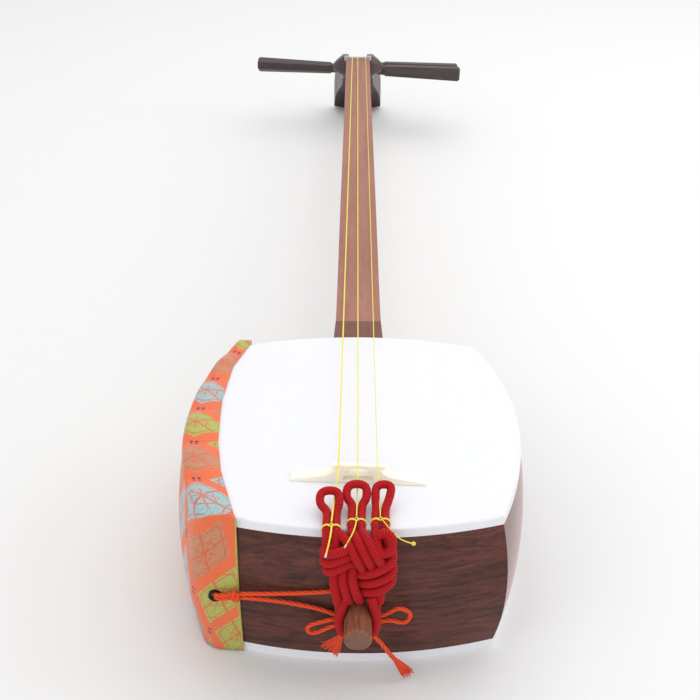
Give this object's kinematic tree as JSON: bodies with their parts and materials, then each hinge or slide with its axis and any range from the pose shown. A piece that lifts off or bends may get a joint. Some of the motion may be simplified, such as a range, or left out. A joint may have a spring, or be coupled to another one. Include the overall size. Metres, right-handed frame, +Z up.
{
  "type": "shamisen",
  "caption": "Long-necked plucked lute with a squarish skin-covered wooden body, slim fretless neck, swept-back head with tuning pegs, braided tailpiece and brocade arm cover.",
  "frame": {"origin": "centre of the body's back skin, on the surface the instrument lies on", "axes": "+Y along the neck towards the head, +Z up through the front skin, +X to the side opposite the arm cover"},
  "size_m": [0.2382, 0.969, 0.1047],
  "materials": {
    "body_wood": "satin",
    "neck_wood": "satin",
    "head_wood": "polished",
    "peg_wood": "satin",
    "dowel_wood": "matte",
    "skin": "matte",
    "board": "matte",
    "brocade": "satin",
    "black_metal": "satin",
    "orange_cord": "matte",
    "red_cord": "matte",
    "yellow_string": "satin",
    "ivory_plastic": "gloss"
  },
  "bodies": {
    "instrument": {"side_left": "body_wood", "side_right": "body_wood", "side_head": "body_wood", "side_tail": "body_wood", "neck_lower": "neck_wood", "neck_middle": "neck_wood", "neck_upper": "neck_wood", "head_block": "head_wood", "head_tip": "head_wood", "string_1": "yellow_string", "string_tie_1": "yellow_string", "string_2": "yellow_string", "string_tie_2": "yellow_string", "string_3": "yellow_string", "string_tie_3": "yellow_string", "neck_tongue": "dowel_wood", "skin_front": "skin", "skin_back": "skin", "nut": "ivory_plastic", "arm_board": "board", "arm_cloth": "brocade", "eyelets": "black_metal", "neo_loop_left": "red_cord", "neo_loop_middle": "red_cord", "neo_loop_right": "red_cord", "neo_knot": "red_cord", "neo_collar": "red_cord", "cord_knot": "orange_cord", "cord_pair": "orange_cord", "cord_upper": "orange_cord", "cord_lower": "orange_cord", "bow_knot": "orange_cord", "bow_loop_left": "orange_cord", "bow_loop_right": "orange_cord", "bow_tail_left": "orange_cord", "bow_tail_right": "orange_cord", "tassel_left": "orange_cord", "tassel_right": "orange_cord"},
    "peg_1": {"peg_1": "peg_wood", "winding_1": "yellow_string"},
    "peg_2": {"peg_2": "peg_wood", "winding_2": "yellow_string"},
    "peg_3": {"peg_3": "peg_wood", "winding_3": "yellow_string"},
    "bridge": {"bridge": "ivory_plastic"}
  },
  "joints": [
    {"name": "peg_1_turn", "type": "hinge", "parent": "instrument", "child": "peg_1", "pos_m": [0, 0.751, 0.075], "axis": [0.996, -0.0871, -0.0192], "continuous": true},
    {"name": "peg_2_turn", "type": "hinge", "parent": "instrument", "child": "peg_2", "pos_m": [0, 0.785, 0.069], "axis": [0.996, -0.0871, -0.0192], "continuous": true},
    {"name": "peg_3_turn", "type": "hinge", "parent": "instrument", "child": "peg_3", "pos_m": [0, 0.768, 0.0698], "axis": [-0.996, 0.0871, 0.0192], "continuous": true},
    {"name": "bridge_slide", "type": "slide", "parent": "instrument", "child": "bridge", "axis": [0, 1, 0], "range_m": [0, 0.02]}
  ]
}
